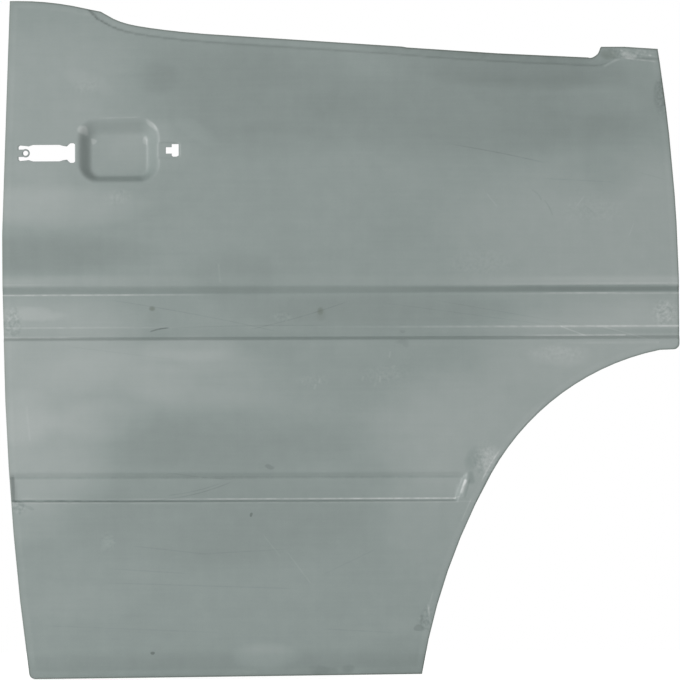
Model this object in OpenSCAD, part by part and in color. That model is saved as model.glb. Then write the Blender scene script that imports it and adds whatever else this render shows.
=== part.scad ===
// Outer skin of a van's front door, right-hand side: one pressed steel sheet.
// X runs towards the front of the vehicle, Y into the door, Z up. The origin lies on the
// underside of the lower hem flange, about half-way along it.

/* [Sheet] */
// Thickness of the sheet steel
sheet_t = 0.8; // [0.6:0.1:1.2]
// Depth of the hem flange that is turned back round the rear, lower, arch and front edges
hem_depth = 12; // [9:1:20]
// Smallest bend radius of the sheet, on its outer face
tight_r = 2; // [1.6:0.1:3]

/* [Outline] */
// Height of the rear upper corner above the origin
panel_h = 920; // [890:5:960]
// How far the rear edge comes forward at its foot
rear_foot_sweep = 35; // [20:1:45]
// Rise of the lower edge towards the front, in degrees
lower_rise = 0.6; // [0:0.1:1.2]
// Furthest reach of the rear edge behind the origin
rear_reach = 307; // [300:1:320]
// Height at which the rear edge reaches furthest back
rear_bulge_z = 594; // [540:2:650]
// How far the rear edge comes forward at its top
rear_top_sweep = 11; // [4:1:16]
// Furthest reach of the front edge ahead of the origin
front_reach = 613; // [600:1:625]
// Height at which the front edge reaches furthest forward
front_bulge_z = 486; // [470:2:500]
// How far the front edge falls back at the window sill
front_top_sweep = 26; // [15:1:35]
// Radius of the two rounded lower corners
corner_r = 8; // [4:1:10]

/* [Wheel arch] */
// Distance of the arch centre ahead of the origin
arch_x = 652; // [648:1:656]
// Height of the arch centre
arch_z = 110; // [104:1:114]
// Radius of the upper part of the arch
arch_r = 338.5; // [330:0.5:345]
// Radius of the flatter part that runs down to the lower edge
arch_lower_r = 830; // [700:10:1000]

/* [Window sill] */
// Drop of the front end of the sill flange below the rear upper corner
sill_drop = 80; // [70:1:90]
// Height of the sill flange above its crease
sill_flange_h = 12; // [8:1:14]
// How far the sill flange is set in behind the outer face
joggle = 3.5; // [2.5:0.5:6]
// Slope of the set-in wall against the outer face, in degrees
joggle_slope = 55; // [45:1:65]
// Step down in the top of the sill flange
sill_step = 1.2; // [0.5:0.1:2]
// Sag of the front part of the sill below a straight line
sill_sag = 1.2; // [0:0.1:3]
// Height of the tab at the front end of the sill above the sill flange
tab_h = 14.5; // [10:0.5:18]
// Length of the tab along the sill
tab_len = 78; // [60:1:90]

/* [Curvature] */
// Radius of the panel seen from above
plan_r = 7000; // [5000:100:12000]
// Radius of the panel seen from the rear
crown_r = 4500; // [3500:100:8000]
// Height at which the panel stands furthest out
crown_z = 430; // [380:5:480]

/* [Moulding band] */
// Height of the upper lip of the band
band_top_z = 531; // [522:1:545]
// Height of the band between its upper lip and its lower groove
band_h = 53.5; // [45:0.5:60]
// Depth of the band behind the upper panel
band_depth = 9; // [6:0.5:12]
// Height of the step under the upper lip
band_step_h = 10.5; // [8:0.5:14]
// Radius of the upper lip
lip_r = 24; // [8:1:24]
// Height of the groove along the foot of the band
groove_h = 20; // [16:1:26]
// Depth of the groove below the floor of the band
groove_depth = 3; // [1.5:0.5:4]
// How far the lower panel is set in behind the upper panel
lower_setback = 4; // [2:0.5:4.5]

/* [Lower swage] */
// Height of the upper edge of the swage
swage_top_z = 278; // [260:1:290]
// Height of the swage
swage_h = 41; // [30:1:50]
// Depth of the swage
swage_depth = 4; // [2:0.5:5]
// Land between the rear edge of the panel and the swage
swage_rear_land = 1.5; // [1:0.5:20]
// Reach of the front end of the swage ahead of the origin, half-way up
swage_front_x = 318; // [250:1:320]
// Lean of the front end of the swage, in degrees
swage_lean = 20; // [10:1:25]

/* [Handle recess] */
// Distance of the recess centre from the furthest reach of the rear edge
recess_inset = 159; // [150:1:165]
// Drop of the recess centre below the rear upper corner
recess_drop = 203.5; // [190:0.5:215]
// Length of the recess at its rim
recess_w = 112; // [100:1:116]
// Height of the recess at its rim
recess_h = 89; // [76:1:100]
// Length of the recess floor
recess_floor_w = 75; // [60:1:80]
// Height of the recess floor
recess_floor_h = 53; // [44:1:60]
// How far the recess floor sits below the middle of the rim
recess_floor_drop = 8; // [2:1:10]
// Depth of the recess
recess_depth = 15; // [8:1:18]

/* [Handle holes] */
// Drop of the centre line of the handle slot below the recess centre
slot_drop = 4; // [0:0.5:8]
// Distance from the recess centre to the near end of the slot
slot_offset = 59.5; // [59:0.5:66]
// Distance from the near end of the slot to its body, over the bulb and the neck
slot_lead = 21; // [19:0.5:24]
// Length of the slot's body
slot_len = 36; // [30:1:38]
// Height of the slot's body
slot_h = 22.4; // [20:0.2:24]
// How far the bulb stands out above and below the slot's body
bulb_flare = 2.1; // [1:0.1:3]
// Length of the two prongs at the far end of the slot
prong_len = 14; // [13:0.5:15]
// Radius of the screw hole in the tongue between the prongs
screw_r = 3.4; // [2.5:0.1:4]
// Width of the ring of sheet round the screw hole
ring_w = 2.3; // [1.8:0.1:2.6]
// Drop of the centre line of the key-shaped hole below the recess centre
key_drop = 1; // [-4:0.5:6]
// Distance from the recess centre to the near end of the key-shaped hole
key_offset = 64; // [62:0.5:70]
// Length of the stem of the key-shaped hole
key_stem_len = 8; // [6:0.5:10]
// Length of the flat seat round the key-shaped hole
seat_w = 32; // [26:0.5:34]
// Height of the flat seat
seat_h = 22; // [20:0.5:26]
// Depth of the flat seat
seat_depth = 1.2; // [0.8:0.1:1.5]

/* [Hidden] */
$fn = 64;
// Space left round the panel by every block that is cut to it
spare = 40;
// Facets of a full turn of the panel's plan curve
plan_fn = 720;

function mix(a, b, t) = a + (b - a) * t;
function unit(v) = v / norm(v);
function left_of(v) = [-v[1], v[0]];
function last(list) = list[len(list) - 1];
function tail(list) = [for (i = [1:len(list) - 1]) list[i]];

// Points of an arc from angle a0 to a1
function arc(c, r, a0, a1, n) = [for (i = [0:n]) c + r * [cos(mix(a0, a1, i / n)), sin(mix(a0, a1, i / n))]];

// The corner a-p-b rounded with radius r
function corner(a, p, b, r, n = 5) =
    let (u = unit(a - p), v = unit(b - p), half = acos(u * v) / 2,
        c = p + unit(u + v) * r / sin(half), run = r / tan(half))
    [for (i = [0:n]) c + r * unit(mix(p + u * run, p + v * run, i / n) - c)];

// A chain of [point, radius] pairs as a rounded polyline
function rounded(chain) = [for (i = [0:len(chain) - 1])
    each (chain[i][1] == 0 ? [chain[i][0]]
        : corner(chain[i - 1][0], chain[i][0], chain[i + 1][0], chain[i][1]))];

// A smooth curve through points, with n steps between each two
function slope_at(pts, i) = (pts[min(i + 1, len(pts) - 1)] - pts[max(i - 1, 0)])
    / (i == 0 || i == len(pts) - 1 ? 1 : 2);
function blend(p, q, mp, mq, t) = p * (2 * t * t * t - 3 * t * t + 1) + mp * (t * t * t - 2 * t * t + t)
    + q * (3 * t * t - 2 * t * t * t) + mq * (t * t * t - t * t);
function through(pts, n) = concat(
    [for (i = [0:len(pts) - 2]) for (k = [0:n - 1])
        blend(pts[i], pts[i + 1], slope_at(pts, i), slope_at(pts, i + 1), k / n)],
    [last(pts)]);

// A polyline moved to its right by d
function shifted(pts, d) = [for (i = [0:len(pts) - 1])
    pts[i] - left_of(unit(pts[min(i + 1, len(pts) - 1)] - pts[max(i - 1, 0)])) * d];

// Lower edge
function lower_z(x) = x * tan(lower_rise);
lower_dir = [cos(lower_rise), sin(lower_rise)];

// Rear edge, from the lower corner up
lower_reach = rear_reach - rear_foot_sweep;
rear_low_z = lower_z(-lower_reach);
function rear_x(z) = -rear_reach + (z > rear_bulge_z
    ? rear_top_sweep * pow((z - rear_bulge_z) / (panel_h - rear_bulge_z), 1.3)
    : rear_foot_sweep * pow((rear_bulge_z - z) / (rear_bulge_z - rear_low_z), 2.3));
rear_edge = [for (i = [0:20]) let (z = mix(rear_low_z + 2 * corner_r, panel_h, i / 20)) [rear_x(z), z]];

// Wheel arch, from the front edge to the lower edge, in two arcs that run into each other
arch_blend_a = 150.7;
arch_c = [arch_x, arch_z];
arch_low_c = arch_c - (arch_lower_r - arch_r) * [cos(arch_blend_a), sin(arch_blend_a)];
arch_foot_run = arch_low_c * lower_dir - sqrt(pow(arch_lower_r, 2) - pow(arch_low_c * left_of(lower_dir), 2));
arch_foot_a = 180 - asin((lower_dir[1] * arch_foot_run - arch_low_c[1]) / arch_lower_r);
// Length of the flat by which the arch ends short of the front edge
arch_flat = 27;
arch_head_a = acos((front_reach - arch_flat - arch_x) / arch_r);
arch_edge = concat(
    arc(arch_c, arch_r, arch_head_a, arch_blend_a, 14),
    tail(arc(arch_low_c, arch_lower_r, arch_blend_a, arch_foot_a, 6)));

// Front edge, from the tab down to the lower front corner
sill_front_z = panel_h - sill_drop;
function front_x(z) = front_reach
    - front_top_sweep * pow((z - front_bulge_z) / (sill_front_z - front_bulge_z), 2);
tab_front_z = sill_front_z + tab_h - 3;
front_corner = [front_reach, arch_edge[0][1] + 1];
front_edge = [for (i = [0:10])
    let (z = mix(tab_front_z, front_corner[1] + 2 * corner_r, i / 10)) [front_x(z), z]];

// Window sill, from the rear upper corner to the tab
top_r = 399;
top_a = 13.6;
top_edge = arc([rear_x(panel_h) + 11, panel_h - top_r], top_r, 90, 90 - top_a, 5);
// Places along the rear part of the sill, from the end of the top edge and above the sill's front end
sill_rise = [[19, 65], [46, 51], [86, 42.4], [160, 34], [291, 24.8], [429, 15.6]];
sill_rear = through([for (p = sill_rise) [last(top_edge)[0] + p[0], sill_front_z + p[1]]], 3);
tab_rear_x = front_x(tab_front_z) - tab_len;
sill_front_x = tab_rear_x - 17;
sill_end = [sill_front_x, sill_front_z];
sill_start = last(sill_rear) + [6, -sill_step];
sill_front = through([sill_start, (sill_start + sill_end) / 2 - [0, sill_sag], sill_end], 4);
tab_root = through([for (p = [[0, 0], [5, -0.4], [13, 4.6], [17, tab_h - 1]]) sill_end + p], 3);
tab_top = [[tab_rear_x + 1, sill_front_z + tab_h], [tab_rear_x + 32, sill_front_z + tab_h]];

// Crease below the sill flange, from the top edge to the front edge
crease = concat(
    [last(top_edge) + [-6, 10], last(top_edge) + [2, -2]],
    shifted(concat(sill_rear, tail(sill_front)), sill_flange_h),
    tail(through([for (p = [[0, -12], [17, -12], [34, -5], [48, -1], [130, -6]]) sill_end + p], 3)));

outline = concat(
    corner([0, lower_z(0)], [-lower_reach, rear_low_z], rear_edge[0], corner_r),
    rear_edge, top_edge, sill_rear, sill_front, tail(tab_root), tab_top, front_edge,
    corner(last(front_edge), front_corner, arch_edge[0], corner_r),
    arch_edge);

// Depth of the upper panel's outer face at a height, half-way along the panel
function crown_y(z) = crown_r - sqrt(crown_r * crown_r - (z - crown_z) * (z - crown_z));
plan_x = (front_reach - rear_reach) / 2;
// Depth of the upper panel's outer face anywhere
function face_y(x, z) = plan_r - sqrt(pow(plan_r - crown_y(z), 2) - pow(x - plan_x, 2));

// Section of the outer face from top to bottom, as [[depth, height], bend radius]
band_foot_z = band_top_z - band_h;
groove_z = band_foot_z - groove_h;
function crown_run(z0, z1, back, n) = [for (i = [0:n])
    let (z = mix(z0, z1, i / n)) [[crown_y(z) + back, z], 0]];
upper_part = concat(
    crown_run(panel_h + spare, band_top_z + lip_r, 0, 12),
    [[[crown_y(band_top_z), band_top_z], lip_r],
     [[crown_y(band_top_z) + band_depth, band_top_z - band_step_h], tight_r],
     [[crown_y(band_foot_z) + band_depth, band_foot_z], tight_r],
     [[crown_y(band_foot_z) + band_depth + groove_depth, groove_z + 6], tight_r],
     [[crown_y(groove_z) + lower_setback, groove_z], tight_r]]);
lower_part = crown_run(groove_z - 8, -spare, lower_setback, 14);
// Section of the swage as it is pressed into the lower panel, with its sides carried on outwards
swage_low_z = swage_top_z - swage_h;
swage_slope_h = 8;
swage_ledge_h = 3.5;
function lower_face_y(z, in) = [crown_y(z) + lower_setback + in, z];
swage_section = rounded([
    [lower_face_y(swage_top_z, 0) + [-swage_depth, swage_slope_h], 0],
    [lower_face_y(swage_top_z, swage_depth) - [0, swage_slope_h], 10],
    [lower_face_y(swage_low_z, swage_depth) + [0, swage_ledge_h], tight_r],
    [lower_face_y(swage_low_z, 0) - [swage_depth, swage_ledge_h], 0]]);

// A section in depth and height, swept along the panel's plan curve
module along_panel() {
    sweep = 2 * asin((plan_x + rear_reach + spare) / plan_r);
    translate([plan_x, plan_r, 0]) rotate([0, 0, -90 - sweep / 2])
        rotate_extrude(angle = sweep, $fn = plan_fn) mirror([1, 0]) translate([-plan_r, 0]) children();
}

// The solid behind the outer face, with its face moved d into the door
module behind(d) {
    low = -spare - 2 * d;
    high = panel_h + spare + 2 * d;
    back = 3 * spare + 2 * d;
    section = rounded(concat(upper_part, lower_part));
    along_panel() offset(delta = -d)
        polygon(concat([[back, high], [section[0][0], high]], section, [[last(section)[0], low], [back, low]]));
}

// A prism through the panel whose outline is drawn in X and Z
module through_panel() {
    translate([0, 4 * spare, 0]) rotate([90, 0, 0]) linear_extrude(6 * spare) children();
}

// The length of panel in which the swage is pressed, with slanted ends, grown by d
module swage_reach(d) {
    slope = 1.3;
    grown = d * sqrt(1 + slope * slope);
    rear_end = rear_x(swage_top_z) + swage_rear_land;
    rear_y = face_y(rear_end, swage_low_z) + lower_setback;
    front_y = face_y(swage_front_x, swage_low_z) + lower_setback;
    intersection() {
        translate([rear_end, rear_y, swage_low_z - spare]) linear_extrude(swage_h + 2 * spare)
            polygon([[-spare * slope - grown, -spare], [spare * slope - grown, spare],
                [2 * front_reach, spare], [2 * front_reach, -spare]]);
        translate([swage_front_x, front_y, swage_top_z - swage_h / 2]) rotate([0, swage_lean, 0])
            translate([0, 0, -front_reach]) linear_extrude(2 * front_reach)
                polygon([[spare * slope + grown, -spare], [-spare * slope + grown, spare],
                    [-2 * front_reach, spare], [-2 * front_reach, -spare]]);
    }
}

// A place on the outer face, seen along the set-in wall below the sill flange
function along_joggle(p) = [p[0], p[1] * sin(joggle_slope) - face_y(p[0], p[1]) * cos(joggle_slope)];

// The room above the set-in wall, with the wall moved d into the panel
module above_crease(d) {
    back = panel_h * cos(joggle_slope) + 2 * spare * sin(joggle_slope);
    top = along_joggle([0, panel_h + spare / 2])[1];
    rotate([180 - joggle_slope, 0, 0]) translate([0, 0, -back]) linear_extrude(4.2 * spare)
        polygon(concat(shifted([for (p = crease) along_joggle(p)], d),
            [[front_reach + 3 * spare, top], [last(top_edge)[0] - 6, top]]));
}

// The solid behind the whole pressed face, swage and sill joggle included
module behind_face(d) {
    difference() {
        behind(d);
        intersection() {
            swage_reach(d);
            along_panel() offset(delta = d) polygon(swage_section);
        }
        difference() {
            above_crease(d);
            behind(d + joggle);
        }
    }
}

// The room inside the hem flange, which stays open along the window sill
module inside_hem() {
    open_h = 12;
    through_panel() {
        offset(delta = -sheet_t) polygon(outline);
        polygon(concat([[-rear_reach - spare, panel_h - open_h], last(top_edge) + [-8, -open_h - 2]],
            tail(tail(shifted(crease, 5))),
            [[front_reach + spare, panel_h + spare], [-rear_reach - spare, panel_h + spare]]));
    }
}

// A box of rounded corners, w by h, centred
function round_box(w, h, r, n = 6) = [for (q = [0:3]) let (sx = (q == 0 || q == 3) ? 1 : -1, sy = q < 2 ? 1 : -1)
    each arc([sx * (w / 2 - r), sy * (h / 2 - r)], r, 90 * q, 90 * q + 90, n)];

// Rings of [x, depth, z] points joined into a closed solid, the first ring nearest the viewer
module loft(rings) {
    n = len(rings[0]);
    m = len(rings);
    polyhedron([for (ring = rings) each ring], concat(
        [[for (i = [0:n - 1]) n - 1 - i]],
        [for (k = [0:m - 2]) for (i = [0:n - 1]) let (j = (i + 1) % n)
            each [[k * n + i, k * n + j, (k + 1) * n + j], [k * n + i, (k + 1) * n + j, (k + 1) * n + i]]],
        [[for (i = [0:n - 1]) (m - 1) * n + i]]));
}

// Children drawn in X and Z about a place on the outer face, square to it
module on_face(x, z) {
    translate([x, face_y(x, z), z])
        rotate([-asin((z - crown_z) / crown_r), 0, 0]) rotate([0, 0, asin((x - plan_x) / plan_r)]) children();
}

// The finger recess, grown by d on every side. Each station pairs the way from rim to floor with
// the share of the depth reached there; the first lies outside the face.
recess_x = recess_inset - rear_reach;
recess_z = panel_h - recess_drop;
recess_rim_r = 27;
recess_floor_r = 10;
recess_stations = [[-0.12, -0.2], [0, 0.01], [0.12, 0.07], [0.3, 0.25], [0.5, 0.52], [0.72, 0.82],
    [0.88, 0.96], [1.04, 1]];
module recess(d) {
    on_face(recess_x, recess_z)
        loft([for (s = recess_stations)
            [for (p = round_box(mix(recess_w, recess_floor_w, s[0]) + 2 * d,
                    mix(recess_h, recess_floor_h, s[0]) + 2 * d, mix(recess_rim_r, recess_floor_r, s[0]) + d))
                [p[0], s[1] * recess_depth + (s[1] < 0 ? 0 : d), p[1] - recess_floor_drop * s[0]]]]);
}

// Half of the handle slot, as [distance from its near end, height above its centre line]: a bulb,
// a neck, the body, a waist and a prong
waist = 5.8;
body_end = slot_lead + slot_len;
slot_half = [[0, slot_h / 2 + 0.6], [2, slot_h / 2 + bulb_flare], [6.5, slot_h / 2 + bulb_flare],
    [11, slot_h / 2 - 2.2], [slot_lead - 5, slot_h / 2 - 1.6], [slot_lead, slot_h / 2],
    [body_end, slot_h / 2], [body_end + waist, slot_h / 2 - 1.9],
    [body_end + waist + prong_len - 2, slot_h / 2 - 0.6], [body_end + waist + prong_len, slot_h / 2 - 2.6]];

// The handle slot, round a tongue with a screw hole
slot_z = recess_z - slot_drop;
module slot_outline() {
    near = recess_x - slot_offset;
    far = near - body_end - waist - prong_len;
    tongue_h = 10;
    screw_at = [near - body_end - waist - 4.4, slot_z];
    difference() {
        polygon(concat([for (p = slot_half) [near - p[0], slot_z + p[1]]],
            [for (i = [1:len(slot_half)]) let (p = slot_half[len(slot_half) - i]) [near - p[0], slot_z - p[1]]]));
        translate([far - 1, slot_z - tongue_h / 2]) square([screw_at[0] - far + 1, tongue_h]);
        translate(screw_at) circle(screw_r + ring_w);
    }
    translate(screw_at) circle(screw_r);
}

// The key-shaped hole: a stem and a wider head with bevelled corners
key_x = recess_x + key_offset;
key_z = recess_z - key_drop;
module key_outline() {
    stem_h = 8.6;
    head_w = 9.4;
    half_h = 8.5;
    bevel = 1.5;
    translate([key_x, key_z - stem_h / 2]) square([key_stem_len + 1, stem_h]);
    translate([key_x + key_stem_len, key_z])
        polygon([[0, bevel - half_h], [bevel, -half_h], [head_w - 2 * bevel, -half_h], [head_w, bevel - half_h],
            [head_w, half_h], [0, half_h]]);
}

// The flat seat pressed round the key-shaped hole, grown by d on every side
module key_seat(d) {
    side = 1;
    on_face(key_x + key_stem_len / 2, key_z)
        loft([for (s = [[side, -3], [-side, seat_depth]])
            [for (p = round_box(seat_w + 2 * (s[0] + d), seat_h + 2 * (s[0] + d), 5 + d))
                [p[0], s[1] + (s[1] < 0 ? 0 : d), p[1]]]]);
}

// Depth of the origin, half-way along the depth of the lower hem flange
origin_y = face_y(0, 0) + lower_setback + hem_depth / 2;

module door_skin() color([0.55, 0.59, 0.58]) {
    translate([0, -origin_y, 0]) difference() {
        union() {
            difference() {
                intersection() {
                    difference() {
                        behind_face(0);
                        translate([0, hem_depth, 0]) behind(0);
                    }
                    through_panel() polygon(outline);
                }
                intersection() {
                    behind_face(sheet_t);
                    inside_hem();
                }
            }
            intersection() {
                union() {
                    recess(sheet_t);
                    key_seat(sheet_t);
                }
                behind(0);
            }
        }
        recess(0);
        key_seat(0);
        through_panel() slot_outline();
        through_panel() key_outline();
    }
}

door_skin();
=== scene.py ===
"""Dresses the outer skin of a van's front door: a fine sheet-steel pressing in dull zinc primer."""

from math import atan2, cos, hypot, pi, radians, sin, sqrt

import bmesh
import bpy
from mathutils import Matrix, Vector
from mathutils.kdtree import KDTree


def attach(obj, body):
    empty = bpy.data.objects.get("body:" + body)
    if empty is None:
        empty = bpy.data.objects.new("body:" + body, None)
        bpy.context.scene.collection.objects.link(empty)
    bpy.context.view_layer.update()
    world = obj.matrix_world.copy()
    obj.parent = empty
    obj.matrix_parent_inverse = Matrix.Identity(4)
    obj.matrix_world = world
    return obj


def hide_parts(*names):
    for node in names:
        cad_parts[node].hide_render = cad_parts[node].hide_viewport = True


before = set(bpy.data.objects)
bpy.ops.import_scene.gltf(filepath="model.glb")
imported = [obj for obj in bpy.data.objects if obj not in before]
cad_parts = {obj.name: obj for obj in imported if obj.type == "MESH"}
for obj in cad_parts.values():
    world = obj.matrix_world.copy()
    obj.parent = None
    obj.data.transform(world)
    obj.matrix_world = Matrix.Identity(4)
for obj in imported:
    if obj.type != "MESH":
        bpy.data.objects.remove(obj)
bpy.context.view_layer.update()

MM = 0.001

# Sizes of the pressing, in millimetres, as in the part's source
SHEET_T = 0.8
HEM_DEPTH = 12.0
HEM_BEND_R = 2.0
PANEL_H = 920.0
REAR_REACH = 307.0
FRONT_REACH = 613.0
PLAN_R = 7000.0
CROWN_R = 4500.0
CROWN_Z = 430.0
PLAN_X = (FRONT_REACH - REAR_REACH) / 2

# Moulding band, from its upper lip down: heights, and depths below the plain face
BAND_TOP_Z = 531.0
BAND_STEP_H = 10.5
BAND_H = 53.5
BAND_DEPTH = 9.0
GROOVE_H = 20.0
GROOVE_DEPTH = 3.0
LOWER_SETBACK = 4.0

# Lower swage, which starts a little in front of the rear edge and has a slanted front end
SWAGE_TOP_Z = 278.0
SWAGE_H = 41.0
SWAGE_DEPTH = 4.0
SWAGE_REAR_GAP = 1.5
SWAGE_FRONT_X = 318.0
SWAGE_LEAN = radians(20)

# Finger recess: its middle, the rim and the floor (length, height, corner radius), how much lower
# the floor's middle lies than the rim's, and its depth
RECESS_X = -148.0
RECESS_Z = 716.5
RECESS_RIM = (112.0, 89.0, 27.0)
RECESS_FLOOR = (75.0, 53.0, 10.0)
RECESS_DROP = 8.0
RECESS_DEPTH = 15.0

# Flat seat round the key-shaped hole: middle, length, height, corner radius and depth
SEAT_X = -80.0
SEAT_Z = 715.5
SEAT_W = 32.0
SEAT_H = 22.0
SEAT_R = 5.0
SEAT_DEPTH = 1.2

# Corners in X and Z of a box that holds both holes of the handle and none of the outline
HANDLE_HOLES = ((-292, 690), (-60, 740))

# Set-in wall under the window sill: a height above which all of it lies, its depth, the run of
# its slope, and the crease (x, z) that it starts from
SILL_LOW_Z = 800.0
JOGGLE = 3.5
JOGGLE_RUN = 2.45
CREASE = [
    (-208, 935), (-197.2, 918.8), (-189.2, 906.8), (-178.1, 894.6), (-169.6, 889.7),
    (-160.5, 884.5), (-149.2, 879.7), (-137, 876.1), (-123.7, 873.3), (-107, 870.5),
    (-86.6, 867.7), (-62.6, 864.9), (-32.2, 862), (7.1, 859), (52.7, 855.9),
    (144.5, 849.8), (236.9, 843.6), (273.6, 840.3), (335.5, 836), (397.2, 832.3),
    (489.7, 828), (501.6, 827.5), (507.3, 828), (513.1, 829.9), (518.8, 832.6),
    (526.7, 836.9), (528.7, 838.4), (538.3, 839), (560.6, 838), (640, 832.6),
]

# Clouds of painted shade and painted sheen, standing in for the light on the slightly wavy sheet,
# and partly the primer's own cloudiness: middle (x, z), half length, half height, turn in degrees,
# share of full strength at the middle, and how much lighter (+) or darker (-) the primer is there
SHADING_CLOUDS = [
    (-248, 575, 177, 33, 0, 0.1, -0.12),
    (-241, 640, 156, 35, 0, 0.1, 0.16),
    (-227, 771, 177, 150, 0, 0.1, 0.1),
    (-276, 451, 204, 90, 0, 0.1, 0.2),
    (-106, 403, 231, 54, 0, 0.1, 0.1),
    (-273, 306, 150, 98, 0, 0.1, 0.2),
    (4, 797, 218, 82, 0, 0.1, -0.1),
    (385, 828, 204, 35, 3, 0.1, -0.14),
    (561, 591, 313, 150, 0, 0.1, 0.15),
    (506, 448, 204, 82, 0, 0.1, 0.18),
    (342, 333, 190, 109, 0, 0.1, 0.16),
    (287, 211, 109, 95, 0, 0.1, 0.08),
    (344, 766, 299, 76, 0, 0.1, -0.12),
    (-25, 321, 258, 57, 0, 0.1, -0.09),
    (-12, 212, 258, 82, 0, 0.1, -0.07),
    # Painted shade along the foot of the panel
    (96, 11, 571, 30, 0, 0, -0.12),
    (-94, 814, 35, 27, 0, 0, -0.07),
    (587, 789, 10, 27, 0, 0.2, -0.1),
    (331, 295, 12, 22, 20, 0, -0.15),
    (352, 295, 11, 23, 30, 0, 0.18),
    (-52, 427, 95, 22, 0, 0.1, 0.06),
    (-209, 101, 95, 33, 0, 0.1, 0.05),
    (220, 496, 258, 30, 0, 0.1, -0.1),
    (-282, 662, 82, 54, 0, 0.1, 0.06),
    (-105, 723, 82, 41, 0, 0.1, 0.06),
    (-52, 446, 82, 22, 0, 0.1, 0.14),
    (30, 359, 163, 41, 0, 0.1, 0.05),
    (-284, 213, 68, 41, 0, 0.1, 0.08),
    (49, 28, 54, 22, 0, 0.1, 0.14),
    (-283, 352, 60, 46, 0, 0.1, 0.14),
    (-174, 349, 82, 35, 0, 0.1, 0.12),
    (507, 781, 82, 27, 0, 0.1, 0.05),
    (232, 28, 82, 41, 0, 0.1, -0.06),
    (493, 673, 68, 41, 0, 0.1, -0.05),
    (479, 503, 82, 27, 0, 0.1, -0.06),
    (-93, 400, 60, 30, 0, 0.1, 0.08),
    (10, 541, 76, 46, 0, 0.1, -0.08),
    (45, 729, 163, 30, 0, 0.1, -0.06),
    (521, 713, 54, 82, 0, 0.1, -0.06),
]

# Smaller spots and smears, and a few painted highlights, in the same way
SPOTS = [
    (-189, 809, 44, 16, 20, 0.1, 0.06),
    (-42, 741, 41, 15, 35, 0, 0.07),
    (-272, 493, 60, 12, 3, 0.1, 0.16),
    (547, 843, 11, 7, 10, 0.1, 0.34),
    (536, 849, 3, 2, 0, 0.3, 0.28),
    (575, 841, 4, 2, 0, 0.3, 0.35),
    (520, 844, 15, 8, 0, 0.3, -0.14),
    # Painted highlights on the finger recess: the upper corners of its rim and of its floor
    (-196, 742, 8, 8, 30, 0.1, 0.38),
    (-104, 751, 11, 4, 48, 0.1, 0.26),
    (-183, 731, 5, 5, 0, 0.2, 0.26),
    (-113, 729, 5, 8, 0, 0.2, 0.22),
    (342, 287, 5, 19, 10, 0, -0.12),
    (328, 269, 8, 10, 0, 0, -0.22),
    (260, 64, 8, 7, 0, 0.3, -0.18),
    (-166, 183, 8, 16, 30, 0.2, 0.06),
    (126, 8, 24, 8, 0, 0, -0.14),
    (160, 10, 11, 7, 0, 0, -0.12),
    (56, 285, 7, 4, 10, 0.3, -0.16),
    (32, 219, 3, 3, 0, 0.3, -0.35),
    (237, 469, 4, 2, 0, 0, -0.12),
    (237, 453, 11, 5, 0, 0, -0.1),
    (-105, 34, 3, 3, 0, 0.4, -0.4),
    (-286, 235, 10, 4, 0, 0.3, -0.14),
    (-269, 231, 8, 3, 20, 0.3, -0.12),
    (451, 435, 54, 19, 0, 0.1, 0.08),
]

# Speckled places: middle (x, z), half length, half height, and how much lighter or darker the
# specks are
SPECKLES = [
    (593, 494, 22, 22, 0.24),
    (-294, 483, 16, 27, -0.22),
    (545, 844, 41, 12, 0.16),
    (350, 292, 24, 30, 0.18),
    (592, 787, 14, 35, -0.16),
    (343, 562, 60, 22, 0.05),
    (493, 632, 54, 27, 0.05),
    (-149, 652, 22, 12, 0.08),
    (446, 438, 49, 15, 0.08),
    (114, 402, 27, 11, 0.06),
    (212, 410, 41, 16, 0.06),
    (74, 489, 18, 8, 0.1),
    (268, 78, 11, 24, -0.16),
    (-289, 230, 19, 10, -0.2),
    (-192, 803, 24, 14, 0.07),
    (-164, 184, 14, 19, 0.07),
]
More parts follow.
